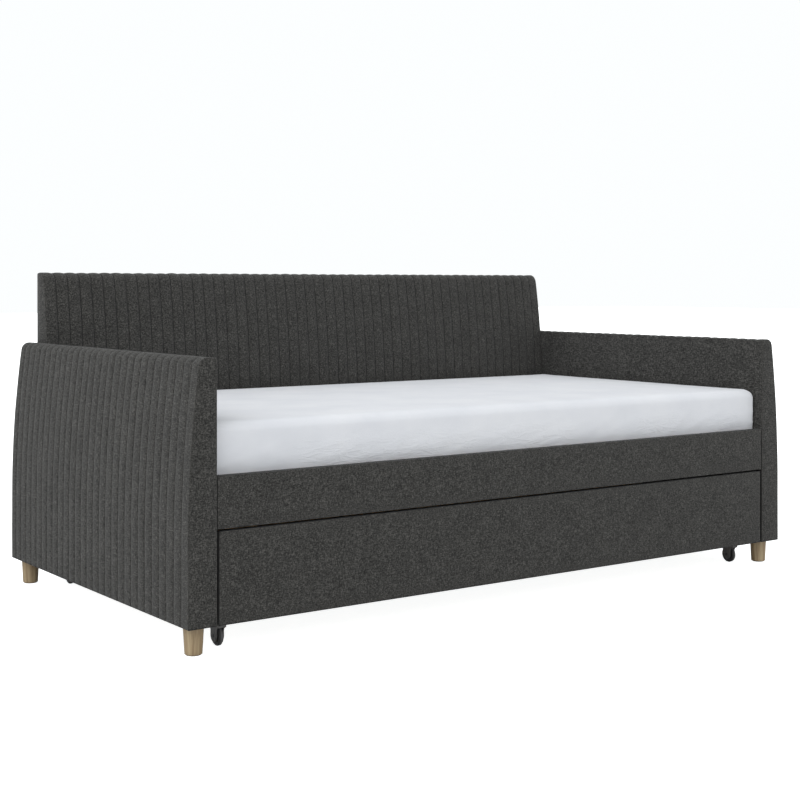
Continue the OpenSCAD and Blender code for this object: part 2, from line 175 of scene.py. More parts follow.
def make_key_light():
    data = bpy.data.lights.new("key", "AREA")
    data.shape = "RECTANGLE"
    data.size = KEY_SIZE
    data.size_y = KEY_SIZE
    data.energy = KEY_WATTS
    light = add_to_scene("key", data)
    light.location = KEY_PLACE
    light.rotation_euler = (Vector(KEY_AIM) - Vector(KEY_PLACE)).to_track_quat("-Z", "Y").to_euler()


def make_world():
    """A sky that is brighter towards one side, and plain to the camera."""
    world = bpy.data.worlds.new("studio")
    bpy.context.scene.world = world
    world.use_nodes = True
    tree = world.node_tree
    background = tree.nodes["Background"]
    background.inputs["Color"].default_value = SKY_COLOR
    side = tree.nodes.new("ShaderNodeVectorMath")
    side.operation = "DOT_PRODUCT"
    tree.links.new(tree.nodes.new("ShaderNodeTexCoord").outputs["Generated"], side.inputs[0])
    side.inputs[1].default_value = SKY_SIDE
    sky = tree.nodes.new("ShaderNodeMapRange")
    for socket, value in (("From Min", -1), ("From Max", 1), ("To Min", SKY_DIM), ("To Max", SKY_BRIGHT)):
        sky.inputs[socket].default_value = value
    tree.links.new(side.outputs["Value"], sky.inputs["Value"])
    strength = tree.nodes.new("ShaderNodeMix")
    tree.links.new(tree.nodes.new("ShaderNodeLightPath").outputs["Is Camera Ray"], strength.inputs[0])
    tree.links.new(sky.outputs["Result"], strength.inputs[2])
    strength.inputs[3].default_value = 1.0
    tree.links.new(strength.outputs[0], background.inputs["Strength"])


def make_floor():
    bm = bmesh.new()
    bmesh.ops.create_grid(bm, x_segments=1, y_segments=1, size=FLOOR_REACH)
    floor = add_object("floor", bm)
    g = Graph("floor_white")
    seen = g.node("ShaderNodeLightPath").outputs["Is Camera Ray"]
    glow = g.math("MULTIPLY", seen, FLOOR_GLOW)
    g.principled((0.80, 0.80, 0.80, 1), 0.9, specular=0.0, emission=(0.98, 0.995, 1.0, 1), glow=glow)
    floor.data.materials.append(g.material)


# ---- Materials ----


class Graph:
    """A material's node tree, built link by link."""

    def __init__(self, name):
        self.material = bpy.data.materials.new(name)
        self.material.use_nodes = True
        self.tree = self.material.node_tree
        self.tree.nodes.clear()

    def node(self, kind, sockets=(), **settings):
        n = self.tree.nodes.new(kind)
        for key, value in settings.items():
            setattr(n, key, value)
        for key, value in dict(sockets).items():
            if isinstance(value, bpy.types.NodeSocket):
                self.tree.links.new(value, n.inputs[key])
            else:
                n.inputs[key].default_value = value
        return n

    def split(self, vector):
        """A vector's x, y and z as three values."""
        outputs = self.node("ShaderNodeSeparateXYZ", {"Vector": vector}).outputs
        return outputs[0], outputs[1], outputs[2]

    def join(self, x, y, z):
        return self.node("ShaderNodeCombineXYZ", {0: x, 1: y, 2: z}).outputs[0]

    def place(self):
        """The point's position on the object, in the part's frame."""
        return self.node("ShaderNodeTexCoord").outputs["Object"]

    def axes(self):
        return self.split(self.place())

    def facing(self):
        """How far the surface faces along x, y and z, each from 0 to 1."""
        normal = self.node("ShaderNodeNewGeometry").outputs["Normal"]
        return [self.math("ABSOLUTE", part) for part in self.split(normal)]

    def on_the_face(self):
        """The position as the distance along the face, through it, and up it, or towards the back
        on a level face. Threads on the faces of the ends are a little longer along them."""
        x, y, z = self.axes()
        end_on, front_on, level = self.facing()
        is_end = self.math("GREATER_THAN", end_on, front_on)
        is_level = self.math("GREATER_THAN", level, 0.7)
        end = self.join(self.math("MULTIPLY", y, 0.55), x, z)
        upright = self.choose(is_end, self.join(x, y, z), end)
        return self.choose(is_level, upright, self.join(x, z, y))

    def noise(self, scale, detail=2.0, rough=0.5, stretch=(1, 1, 1), distortion=0.0, place=None):
        """Noise over place, or over the position, with each axis multiplied by stretch."""
        mapping = self.node("ShaderNodeMapping", {"Vector": place or self.place(), "Scale": stretch})
        sockets = {
            "Vector": mapping.outputs["Vector"],
            "Scale": scale,
            "Detail": detail,
            "Roughness": rough,
            "Distortion": distortion,
        }
        return self.node("ShaderNodeTexNoise", sockets).outputs["Fac"]

    def math(self, operation, a, b=0.0, clamp=False):
        n = self.node("ShaderNodeMath", {0: a, 1: b}, operation=operation)
        n.use_clamp = clamp
        return n.outputs["Value"]

    def total(self, *terms):
        """The sum of each value times its weight."""
        parts = [self.math("MULTIPLY", value, weight) for value, weight in terms]
        result = parts[0]
        for part in parts[1:]:
            result = self.math("ADD", result, part)
        return result

    def wave(self, value, period):
        """A sine that repeats each time value grows by period."""
        return self.math("SINE", self.math("MULTIPLY", value, 2 * math.pi / period))

    def excess(self, a, b, sharpness):
        """How far a is above b, from 0 to 1."""
        return self.math("MULTIPLY", self.math("SUBTRACT", a, b), sharpness, clamp=True)

    def choose(self, factor, a, b):
        """Vector a, or b where factor is 1."""
        return self.node("ShaderNodeMix", {0: factor, 4: a, 5: b}, data_type="VECTOR").outputs[1]

    def mix(self, factor, a, b):
        """Colour a, turning to b as factor goes to 1."""
        return self.node("ShaderNodeMix", {0: factor, 6: a, 7: b}, data_type="RGBA").outputs[2]

    def ramp(self, value, stops):
        n = self.node("ShaderNodeValToRGB", {"Fac": value})
        while len(n.color_ramp.elements) < len(stops):
            n.color_ramp.elements.new(0.5)
        for element, (at, color) in zip(n.color_ramp.elements, stops):
            element.position = at
            element.color = (*color, 1)
        return n.outputs["Color"]

    def bump(self, height, distance, strength):
        sockets = {"Height": height, "Distance": distance, "Strength": strength}
        return self.node("ShaderNodeBump", sockets).outputs["Normal"]

    def principled(
        self, color, rough, normal=None, metal=0.0, specular=0.5, sheen=0.0, sheen_rough=0.5,
        coat=0.0, emission=None, glow=0.0,
    ):
        sockets = {
            "Base Color": color,
            "Roughness": rough,
            "Metallic": metal,
            "Specular IOR Level": specular,
            "Sheen Weight": sheen,
            "Sheen Roughness": sheen_rough,
            "Coat Weight": coat,
        }
        if normal is not None:
            sockets["Normal"] = normal
        if emission is not None:
            sockets["Emission Color"] = emission
            sockets["Emission Strength"] = glow
        shader = self.node("ShaderNodeBsdfPrincipled", sockets).outputs["BSDF"]
        self.node("ShaderNodeOutputMaterial", {"Surface": shader})
        return self.material


def tweed_fabric():
    """Charcoal melange: yarns in two directions, paler and darker flecks, and painted shade in the
    creases along the seams, in gaps and along the foot.
    """
    g = Graph("charcoal_tweed")
    face = g.on_the_face()
    upright = g.noise(440, 2.0, 0.65, stretch=(0.95, 1, 0.30), place=face)
    level = g.noise(440, 2.0, 0.65, stretch=(0.34, 1, 0.9), place=face)
    fleck = g.noise(360, 2.0, 0.6, stretch=(0.95, 1, 1), place=face)
    cloud = g.math("SUBTRACT", g.noise(14, 3.0, 0.6), 0.5)
    yarn = g.total((upright, 0.32), (level, 0.36), (fleck, 0.32), (cloud, 0.06))
    color = g.ramp(
        yarn,
        [
            (0.39, (0.0105, 0.0102, 0.0095)),
            (0.47, (0.0318, 0.0309, 0.0289)),
            (0.53, (0.0500, 0.0485, 0.0453)),
            (0.61, (0.1000, 0.0970, 0.0907)),
        ],
    )
    # Painted shade, from the mesh in the creases along the seams and in gaps, and from the height along
    # the foot, darkens the yarn colour
    seam = g.node("ShaderNodeAttribute", attribute_name="seam").outputs["Fac"]
    foot_shade = g.math("MULTIPLY", g.excess(FOOT_SHADE_Z, g.axes()[2], FOOT_SHADE_SHARPNESS), FOOT_SHADE_DARK)
    dark = g.math("MULTIPLY", g.math("MAXIMUM", seam, foot_shade), 0.85, clamp=True)
    color = g.mix(dark, color, (0.010, 0.010, 0.010, 1))
    along, _, up = g.split(face)
    weave = g.math("MULTIPLY", g.wave(along, TWEED_THREAD), g.wave(up, TWEED_THREAD))
    normal = g.bump(g.math("ADD", g.math("MULTIPLY", weave, 0.35), yarn), 0.0010, 0.55)
    return g.principled(color, 0.92, normal, specular=0.25, sheen=0.12, sheen_rough=0.45)


def mattress_fabric():
    """White knitted cover: fine crossing yarns, a faint cool mottling, and creases low down."""
    g = Graph("mattress_knit")
    fibre = g.noise(700, 2.0, 0.6)
    color = g.ramp(
        g.total((g.noise(7, 3.0, 0.55), 0.75), (fibre, 0.25)),
        [(0.35, (0.680, 0.692, 0.730)), (0.5, (0.711, 0.721, 0.756)), (0.65, (0.736, 0.745, 0.775))],
    )
    x, y, z = g.axes()
    crossed = g.math(
        "MULTIPLY",
        g.wave(g.math("ADD", x, z), KNIT_THREAD),
        g.wave(g.math("SUBTRACT", y, z), KNIT_THREAD),
    )
    knit = g.math("ADD", crossed, g.math("MULTIPLY", fibre, 1.2))
    ridge = g.noise(26, 2.0, 0.5, distortion=0.9, stretch=(0.6, 0.6, 2.0))
    ridge = g.math("ABSOLUTE", g.math("SUBTRACT", ridge, 0.5))
    ridge = g.math("POWER", g.math("SUBTRACT", 1.0, g.math("MULTIPLY", ridge, 5.0), clamp=True), 2.0)
    low = g.excess(MATTRESS_TUCK_Z + 0.085, z, 14.0)
    patch = g.excess(g.noise(3.2, 1.0, 0.5), 0.47, 9.0)
    crease = g.math("MULTIPLY", g.math("MULTIPLY", ridge, low), patch)
    normal = g.bump(g.math("ADD", g.math("MULTIPLY", knit, 0.06), crease), 0.0018, 0.45)
    return g.principled(color, 0.86, normal, specular=0.3, sheen=0.10, sheen_rough=0.5)


def lining_fabric():
    """Black spun lining: short fibres pressed into a thin felt with a dimpled bond pattern."""
    g = Graph("spun_lining")
    fibre = g.noise(900, 3.0, 0.7, distortion=1.5)
    color = g.ramp(fibre, [(0.35, (0.006, 0.006, 0.007)), (0.65, (0.028, 0.028, 0.030))])
    x, y, _ = g.axes()
    dimple = g.math("MULTIPLY", g.wave(x, 0.004), g.wave(y, 0.004))
    normal = g.bump(g.math("ADD", fibre, g.math("MULTIPLY", dimple, 0.6)), 0.0004, 0.6)
    return g.principled(color, 0.95, normal, specular=0.2)


def webbing_tape():
    """Off-white woven tape with fine ribs across it."""
    g = Graph("webbing_tape")
    x, y, _ = g.axes()
    color = g.ramp(g.noise(600, 2.0), [(0.35, (0.58, 0.55, 0.47)), (0.65, (0.78, 0.75, 0.67))])
    pick = g.math("MULTIPLY", g.wave(y, 0.0014), 0.5)
    normal = g.bump(g.math("ADD", g.wave(x, 0.0022), pick), 0.0003, 0.6)
    return g.principled(color, 0.85, normal, specular=0.25, sheen=0.1)


def wood(name, along, tones, ring=26.0, rough=0.55, coat=0.0):
    """Solid wood with its grain along one axis: growth bands, pores and a little figure."""
    g = Graph(name)
    stretch = [1.0, 1.0, 1.0]
    stretch[along] = 0.06
    figure = g.noise(5, 2.0, stretch=stretch)
    bands = g.noise(ring, 3.0, 0.55, stretch=stretch, distortion=1.2)
    stretch[along] = 0.02
    pores = g.noise(620, 2.0, 0.6, stretch=stretch)
    value = g.total((bands, 0.72), (pores, 0.20), (figure, 0.08))
    color = g.ramp(value, list(zip((0.36, 0.50, 0.64), tones)))
    normal = g.bump(pores, 0.0005, 0.35)
    gloss = g.math("ADD", rough - 0.06, g.math("MULTIPLY", pores, 0.12))
    return g.principled(color, gloss, normal, specular=0.4, coat=coat)


def plywood(name, across):
    """Birch plywood whose plies lie across one axis: open grain on its faces, plies on its edges."""
    g = Graph(name)
    along = 0 if across != 0 else 1
    stretch = [1.0, 1.0, 1.0]
    stretch[along] = 0.08
    bands = g.noise(20, 3.0, 0.55, stretch=stretch, distortion=0.8)
    stretch[along] = 0.03
    pores = g.noise(520, 2.0, 0.6, stretch=stretch)
    face = g.ramp(
        g.total((bands, 0.8), (pores, 0.2)),
        [(0.36, (0.42, 0.27, 0.13)), (0.5, (0.56, 0.39, 0.21)), (0.64, (0.66, 0.49, 0.29))],
    )
    edge = g.ramp(
        g.total((g.wave(g.axes()[across], 0.0034), 0.5), (pores, 0.5)),
        [(0.05, (0.24, 0.14, 0.065)), (0.35, (0.46, 0.31, 0.16)), (0.8, (0.60, 0.44, 0.26))],
    )
    is_face = g.math("GREATER_THAN", g.facing()[across], 0.6)
    normal = g.bump(pores, 0.0004, 0.4)
    return g.principled(g.mix(is_face, edge, face), 0.62, normal, specular=0.3)


def coated_steel():
    """Dark coated steel, a little worn and spotted."""
    g = Graph("coated_steel")
    cloud = g.noise(55, 3.0, 0.6)
    color = g.ramp(cloud, [(0.35, (0.05, 0.052, 0.057)), (0.65, (0.12, 0.122, 0.13))])
    gloss = g.math("ADD", 0.28, g.math("MULTIPLY", cloud, 0.28))
    normal = g.bump(g.noise(900, 2.0, 0.6), 0.00025, 0.35)
    return g.principled(color, gloss, normal, metal=0.9, specular=0.5)


def moulded_plastic(name, dark, light, rough):
    """Moulded plastic with a fine spark-eroded grain and scuffed patches."""
    g = Graph(name)
    cloud = g.noise(45, 3.0, 0.6)
    color = g.ramp(cloud, [(0.35, dark), (0.65, light)])
    gloss = g.math("ADD", rough - 0.08, g.math("MULTIPLY", cloud, 0.16))
    normal = g.bump(g.noise(700, 2.0, 0.5), 0.0003, 0.3)
    return g.principled(color, gloss, normal, specular=0.45)


def wheel_plastic():
    """The wheels: a dark hub, and a tread painted lighter for its highlight, patchy with scuffs."""
    g = Graph("wheel_tread")
    scuff = g.noise(160, 3.0, 0.6)
    # Painted highlight: the tread lighter than the hub, varied by scuffs
    tread = g.math("LESS_THAN", g.facing()[0], 0.35)
    tread_highlight_and_scuff = g.math("MULTIPLY", tread, g.math("ADD", 0.45, g.math("MULTIPLY", scuff, 0.6)), clamp=True)
    color = g.mix(tread_highlight_and_scuff, (0.045, 0.045, 0.046, 1), (0.150, 0.150, 0.153, 1))
    gloss = g.math("ADD", 0.38, g.math("MULTIPLY", tread_highlight_and_scuff, 0.25))
    return g.principled(color, gloss, g.bump(scuff, 0.0003, 0.4), specular=0.4)


# ---- Shapes ----


def spread(a, b, count):
    return [a + (b - a) * i / (count - 1) for i in range(count)]


def limit(value, low, high):
    return min(max(value, low), high)


def smooth_step(t):
    return t * t * (3 - 2 * t)


def arc(center_p, center_z, r, start, end, count):
    """Samples (p, z, normal p, normal z) on an arc from one angle to another."""
    turns = [(math.cos(a), math.sin(a)) for a in spread(start, end, count)]
    return [(center_p + r * c, center_z + r * s, c, s) for c, s in turns]


def rounded_edge(r, count):
    """Steps (inset, depth) round an edge, from its start on one face to its end on the next."""
    return [(r * (1 - math.sin(a)), r * (1 - math.cos(a))) for a in spread(0, math.pi / 2, count)]


def add_object(name, bm):
    """A new smooth object from bm, with its faces turned outwards."""
    bmesh.ops.recalc_face_normals(bm, faces=bm.faces)
    mesh = bpy.data.meshes.new(name)
    bm.to_mesh(mesh)
    bm.free()
    mesh.polygons.foreach_set("use_smooth", [True] * len(mesh.polygons))
    return add_to_scene(name, mesh)


def grid_faces(bm, rows):
    """Faces between neighbouring rows of vertices."""
    for low, high in zip(rows, rows[1:]):
        for k in range(len(low) - 1):
            bm.faces.new((low[k], low[k + 1], high[k + 1], high[k]))


def ring_faces(bm, a, b):
    """Faces between two closed rings of vertices."""
    for k in range(len(a)):
        n = (k + 1) % len(a)
        bm.faces.new((a[k], a[n], b[n], b[k]))


# ---- Channelled panels ----


def panel_profile(thick, top, foot, curve_r, edge_r):
    """Samples (p, z, normal p, normal z, swell) round a panel, from the foot of its flat side over
    the top to the foot of its curved side. Sample i and the last sample less i are level pairs."""
    curve_p, curve_z = thick - curve_r, top - CURVE_DROP
    edge_z = top - edge_r
    edge_p = curve_p + math.sqrt((curve_r - edge_r) ** 2 - (edge_z - curve_z) ** 2)
    turn = math.atan2(edge_z - curve_z, edge_p - curve_p)
    curved = [(thick, z, 1.0, 0.0) for z in spread(foot, curve_z, FOOT_ROWS + 1)[:-1]]
    curved += arc(curve_p, curve_z, curve_r, 0, turn, CURVE_ROWS + 1)
    curved += arc(edge_p, edge_z, edge_r, turn, math.pi / 2, EDGE_ROWS + 1)[1:]
    levels = [sample[1] for sample in curved[: FOOT_ROWS + CURVE_ROWS]]
    inner_z = top - INNER_EDGE_R
    levels += spread(levels[-1], inner_z, 4)[1:]
    flat = [(0.0, z, -1.0, 0.0) for z in levels]
    steps = len(curved) - len(flat)
    flat += arc(INNER_EDGE_R, inner_z, INNER_EDGE_R, math.pi, math.pi / 2, steps + 1)[1:]
    over = [(p, top, 0.0, 1.0) for p in spread(flat[-1][0], curved[-1][0], TOP_ROWS + 1)[1:-1]]
    swells = [0.0] * len(flat)
    swells += [smooth_step(k / TOP_ROWS) for k in range(1, TOP_ROWS)]
    swells += [1.0] * len(curved)
    return [(*sample, swell) for sample, swell in zip(flat + over + curved[::-1], swells)]


def channel_seams(half, width):
    """Where the seams are along a panel: full channels from its lower end, and what is left."""
    count = int(2 * half / width)
    return [-half + width * k for k in range(count + 1)] + [half]


def channel_columns(half, seams):
    """Columns (u, inset, channel, share of it) along a panel: round the ends, crowded at seams.
    The outer halves of the first and last channels stay full, so their share is a half."""
    last = len(seams) - 2
    middle = []
    clear = half - END_EDGE_R * 1.15
    for channel, (a, b) in enumerate(zip(seams, seams[1:])):
        for k in range(CHANNEL_COLUMNS):
            share = 0.5 - 0.5 * math.cos(math.pi * k / CHANNEL_COLUMNS)
            u = a + (b - a) * share
            at_end = (channel == 0 and share < 0.5) or (channel == last and share > 0.5)
            if abs(u) < clear:
                middle.append((u, 0.0, channel, 0.5 if at_end else share))
    ends = [(-half + along, inset) for along, inset in rounded_edge(END_EDGE_R, END_COLUMNS)[::-1]]
    first = [(u, inset, 0, 0.5) for u, inset in ends]
    return first + middle + [(-u, inset, last, 0.5) for u, inset in ends[::-1]]


def sewn_surface(bm, place, profile, half, width, swell, crease, gap_shade_top, seed):
    """Rows of vertices over a panel, channelled where it swells. They also hold how much painted shade
    darkens the fabric in the creases along the seams and in the gap beside the flat side's near end."""
    seams = channel_seams(half, width)
    columns = channel_columns(half, seams)
    seam_layer = bm.verts.layers.float.new("seam")
    rows = []
    for p, z, normal_p, normal_z, rise in profile:
        row = []
        for u, inset, channel, share in columns:
            puff = math.sqrt(max(0.0, 1 - (2 * share - 1) ** 2))
            full = 1 + CHANNEL_UNEVEN * noise.noise(Vector((channel * 1.7 + seed, z * 3.0, 0.3)))
            full *= 1 + CLOTH_UNEVEN * noise.noise(Vector((u * 25, z * 25, seed)))
            out = rise * swell * (puff * full - SWELL_BEHIND) - inset
            out += PANEL_WANDER * noise.noise(Vector((u * 9, z * 9, seed + 5.0)))
            v = bm.verts.new(place(p + normal_p * out, u, z + normal_z * out))
            from_seam = min(share, 1 - share) * (seams[channel + 1] - seams[channel])
            # Painted shade on the flat side's strip in the gap beside the rail's end, and in the creases
            # along the seams
            on_flat_side = p == 0.0 and inset < 0.0002
            in_gap_shade = on_flat_side and u < GAP_SHADE_DEPTH - half and z < gap_shade_top
            v[seam_layer] = GAP_SHADE_DARK if in_gap_shade else crease * rise * max(0.0, 1 - from_seam / SEAM_SHADE_WIDTH)
            row.append(v)
        rows.append(row)
    grid_faces(bm, rows)
    return rows


def crowned_ends(bm, place, rows, foot, top, crown):
    """Closes both ends with level lines between paired samples, and returns the lowest of each."""
    across = 6
    fade = 0.02
    lowest = []
    for column, sign in ((0, -1), (-1, 1)):
        lines = []
        for i in range((len(rows) - 1) // 2):
            a, b = rows[i][column], rows[-1 - i][column]
            line = [a]
            for k in range(1, across):
                point = a.co.lerp(b.co, k / across)
                level = limit(min((point.z - foot) / fade, (top - point.z) / fade), 0.0, 1.0)
                out = sign * crown * math.sin(math.pi * k / across) * level
                line.append(bm.verts.new(point + place(0, out, 0) - place(0, 0, 0)))
            lines.append(line + [b])
        grid_faces(bm, list(zip(*lines)))
        bm.faces.new(lines[-1] + [rows[(len(rows) - 1) // 2][column]])
        lowest.append(lines[0])
    return lowest


def turned_rim(bm, place, loop, thick, half, foot):
    """Rings from the loop round the foot, then inwards and up. Returns the last one."""
    anchor = place(0, 0, 0)
    p_axis, u_axis = place(1, 0, 0) - anchor, place(0, 1, 0) - anchor
    seats = [((v.co - anchor).dot(p_axis), (v.co - anchor).dot(u_axis)) for v in loop]
    steps = [(inset, foot + rise) for rise, inset in rounded_edge(FOOT_EDGE_R, 5)[1:]]
    steps += [(COVER_T, foot), (COVER_T, foot + RIM_HEIGHT)]
    for inset, z in steps:
        ring = []
        for p, u in seats:
            point = place(limit(p, inset, thick - inset), limit(u, inset - half, half - inset), z)
            ring.append(bm.verts.new(point))
        ring_faces(bm, loop, ring)
        loop = ring
    return loop


def channelled_panel(name, place, size, radii, channel, crown, gap_shade_top, seed):
    """A padded cover: channels over its curved side and top, smooth flat side and ends, and a rim
    turned in underneath. place(p, u, z) gives the point in the part's frame that is p from the
    flat side and u along the panel from its middle. size is its thickness, half its length, and
    its foot and top. channel is a channel's width and swell, and how dark the painted shade in the
    creases along its seams is."""
    thick, half, foot, top = size
    bm = bmesh.new()
    profile = panel_profile(thick, top, foot + FOOT_RISE, *radii)
    rows = sewn_surface(bm, place, profile, half, *channel, gap_shade_top, seed)
    near, far = crowned_ends(bm, place, rows, foot, top, crown)
    loop = rows[0] + far[1:-1] + rows[-1][::-1] + near[1:-1][::-1]
    rim = turned_rim(bm, place, loop, thick, half, foot)
    columns, across = len(rows[0]), len(far) - 1
    flat, right = rim[:columns], rim[columns: columns + across - 1]
    curved = rim[columns + across - 1: 2 * columns + across - 1][::-1]
    left = rim[2 * columns + across - 1:]
    grid_faces(bm, [flat, curved])
    bm.faces.new([flat[-1]] + right + [curved[-1]])
    bm.faces.new([curved[0]] + left + [flat[0]])
    bmesh.ops.remove_doubles(bm, verts=bm.verts, dist=SAME)
    return add_object(name, bm)


# ---- Smooth fronts and the mattress's block ----


def front_panel(name, lo, hi, seed):
    """The padded front of a board: a slightly crowned face, soft edges, and a pocket at the rear."""
    bm = bmesh.new()
    seam_layer = bm.verts.layers.float.new("seam")
    columns = FRONT_COLUMNS
    rows = max(8, round(columns * (hi.z - lo.z) / (hi.x - lo.x)) * 2)
    cx, cz = (lo.x + hi.x) / 2, (lo.z + hi.z) / 2
    hx, hz = (hi.x - lo.x) / 2, (hi.z - lo.z) / 2
    xs, zs = spread(-1, 1, columns + 1), spread(-1, 1, rows + 1)
    front = lo.y + FRONT_PUFF * 0.6

    def vertex(x, z, inset, y):
        """A vertex at y, for x and z from -1 to 1 across the panel less the inset."""
        return bm.verts.new((cx + x * (hx - inset), y, cz + z * (hz - inset)))

    def crown(x, z):
        edge_x = min(1.0, (1 - abs(x)) * hx / 0.05)
        edge_z = min(1.0, (1 - abs(z)) * hz / 0.035)
        rise = math.sin(edge_x * math.pi / 2) * math.sin(edge_z * math.pi / 2)
        ripple = noise.noise(Vector((x * hx * 6, z * hz * 9, seed)))
        return FRONT_PUFF * rise * (1 + 0.35 * ripple)

    face = [[vertex(x, z, FRONT_EDGE_R, front - crown(x, z)) for x in xs] for z in zs]
    grid_faces(bm, face)
    ring = face[0][:-1] + [r[-1] for r in face[:-1]] + face[-1][:0:-1] + [r[0] for r in face[:0:-1]]
    around = [(x, -1) for x in xs[:-1]] + [(1, z) for z in zs[:-1]]
    around += [(x, 1) for x in xs[:0:-1]] + [(-1, z) for z in zs[:0:-1]]
    # Round the front edge, back along the sides, round the rear edge, and into the pocket
    steps = [(inset, front + depth) for inset, depth in rounded_edge(FRONT_EDGE_R, 6)[1:]]
    steps += [(0.0, hi.y - 0.0015), (0.0006, hi.y - 0.0004), (0.0015, hi.y)]
    steps += [(0.005, hi.y), (0.005, lo.y + COVER_T)]
    for inset, y in steps:
        previous, ring = ring, [vertex(x, z, inset, y) for x, z in around]
        # Painted shade on the rings behind the front edge, where the sides lie in the gaps
        for v in ring:
            v[seam_layer] = GAP_SHADE_DARK if y > front + FRONT_EDGE_R * 0.5 else 0.0
        ring_faces(bm, previous, ring)
    bottom, right = ring[: columns + 1], ring[columns: columns + rows + 1]
    top = ring[columns + rows: 2 * columns + rows + 1][::-1]
    left = (ring[2 * columns + rows:] + ring[:1])[::-1]
    pocket = [bottom]
    for i in range(1, rows):
        line = [bm.verts.new((v.co.x, v.co.y, left[i].co.z)) for v in bottom[1:-1]]
        pocket.append([left[i]] + line + [right[i]])
    pocket.append(top)
    grid_faces(bm, pocket)
    return add_object(name, bm)


def rounded_block(name, lo, hi, edge_r, corner_r, cell):
    """A box of square cells, finer near its edges, rounded along its level and upright edges."""
    mid, half = (lo + hi) / 2, (hi - lo) / 2
    size = hi - lo
    steps = []
    for axis in range(3):
        near = [edge_r * share for share in (0, 0.17, 0.36, 0.57, 0.78)]
        count = max(4, round((size[axis] - 2 * edge_r) / cell))
        between = spread(edge_r, size[axis] - edge_r, count + 1)
        steps.append(near + between + [size[axis] - d for d in near[::-1]])
    counts = [len(s) - 1 for s in steps]
    bm = bmesh.new()
    seen = {}

    def rounded(point):
        """Moves a point of the box's surface to where its level and upright edges are rounded."""
        from_side = min(half[a] - abs(point[a] - mid[a]) for a in (0, 1))
        from_top = half.z - abs(point.z - mid.z)
        sign = 1 if point.z > mid.z else -1
        inset = from_side
        if from_side < edge_r and from_top < edge_r:
            turn = math.pi / 4 * (1 + from_side / edge_r - from_top / edge_r)
            inset = edge_r * (1 - math.cos(turn))
            point.z = mid.z + sign * (half.z - edge_r * (1 - math.sin(turn)))
        for a in (0, 1):
            point[a] = mid[a] + (point[a] - mid[a]) * (half[a] - inset) / (half[a] - from_side)
        reach = [half[a] - inset - corner_r for a in (0, 1)]
        core = Vector([mid[a] + limit(point[a] - mid[a], -reach[a], reach[a]) for a in (0, 1)])
        away = point.xy - core
        if away.length > corner_r:
            point.xy = core + away.normalized() * corner_r
        return point

    def vertex(key):
        if key not in seen:
            point = Vector([lo[a] + steps[a][key[a]] for a in range(3)])
            seen[key] = bm.verts.new(rounded(point))
        return seen[key]

    for axis in range(3):
        a, b = [k for k in range(3) if k != axis]
        for side in (0, counts[axis]):
            for i in range(counts[a]):
                for j in range(counts[b]):
                    corners = []
                    for di, dj in ((0, 0), (1, 0), (1, 1), (0, 1)):
                        key = [side, side, side]
                        key[a], key[b] = i + di, j + dj
                        corners.append(vertex(tuple(key)))
                    bm.faces.new(corners)
    return add_object(name, bm)


# ---- Cloth ----


def inflate(obj, pinned_below, pressure, slack, cap):
    """Swells obj as a sealed cloth, keeps its underside where it is, and applies the result, with
    no point moved further than cap."""
    rest = np.array([v.co for v in obj.data.vertices], float)
    pins = obj.vertex_groups.new(name="pins")
    pins.add([i for i, co in enumerate(rest) if co[2] < pinned_below], 1.0, "REPLACE")
    cloth = obj.modifiers.new("cloth", "CLOTH")
    s = cloth.settings
    s.quality = 6
    s.mass = 0.35
    s.tension_stiffness = 12
    s.compression_stiffness = 8
    s.shear_stiffness = 4
    s.bending_stiffness = 0.6
    s.use_pressure = True
    s.uniform_pressure_force = pressure
    s.shrink_min = -slack
    s.shrink_max = -slack
    s.vertex_group_mass = "pins"
    s.pin_stiffness = 1.0
    s.effector_weights.gravity = 0
    cloth.collision_settings.use_collision = False
    cloth.point_cache.frame_start = 1
    cloth.point_cache.frame_end = CLOTH_FRAMES
    scene = bpy.context.scene
    for f in range(1, CLOTH_FRAMES + 1):
        scene.frame_set(f)
    swollen = obj.evaluated_get(bpy.context.evaluated_depsgraph_get())
    moved = np.array([v.co for v in swollen.data.vertices], float)
    obj.modifiers.remove(cloth)
    obj.vertex_groups.clear()
    step = moved - rest
    length = np.linalg.norm(step, axis=1, keepdims=True)
    step *= np.minimum(1.0, cap / np.maximum(length, 1e-9))
    obj.data.vertices.foreach_set("co", (rest + step).ravel())
    obj.data.update()
    scene.frame_set(1)


def subdivide(obj):
    """Replaces obj's mesh with its subdivision surface."""
    obj.modifiers.new("finer", "SUBSURF").levels = 1
    result = obj.evaluated_get(bpy.context.evaluated_depsgraph_get())
    mesh = bpy.data.meshes.new_from_object(result)
    obj.modifiers.clear()
    obj.data = mesh


def fold(point, seed):
    """Height of soft diagonal folds at a point of the mattress's side."""
    along = point.x * 0.8 + point.z * 1.9
    down = point.z * 1.0 - point.x * 0.35
    value = noise.noise(Vector((along * 5.0, down * 24.0, seed)))
    fine = noise.noise(Vector((along * 13.0, down * 52.0, seed + 4.0)))
    return (1 - abs(value)) ** 4 * 0.8 + fine * 0.25


# ---- Pieces ----


def dress(piece, body, material, node):
    """Gives a soft piece its material and body, and hides the CAD node it stands for."""
    piece.data.materials.clear()
    piece.data.materials.append(material)
    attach(piece, body)
    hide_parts(node)
    return piece


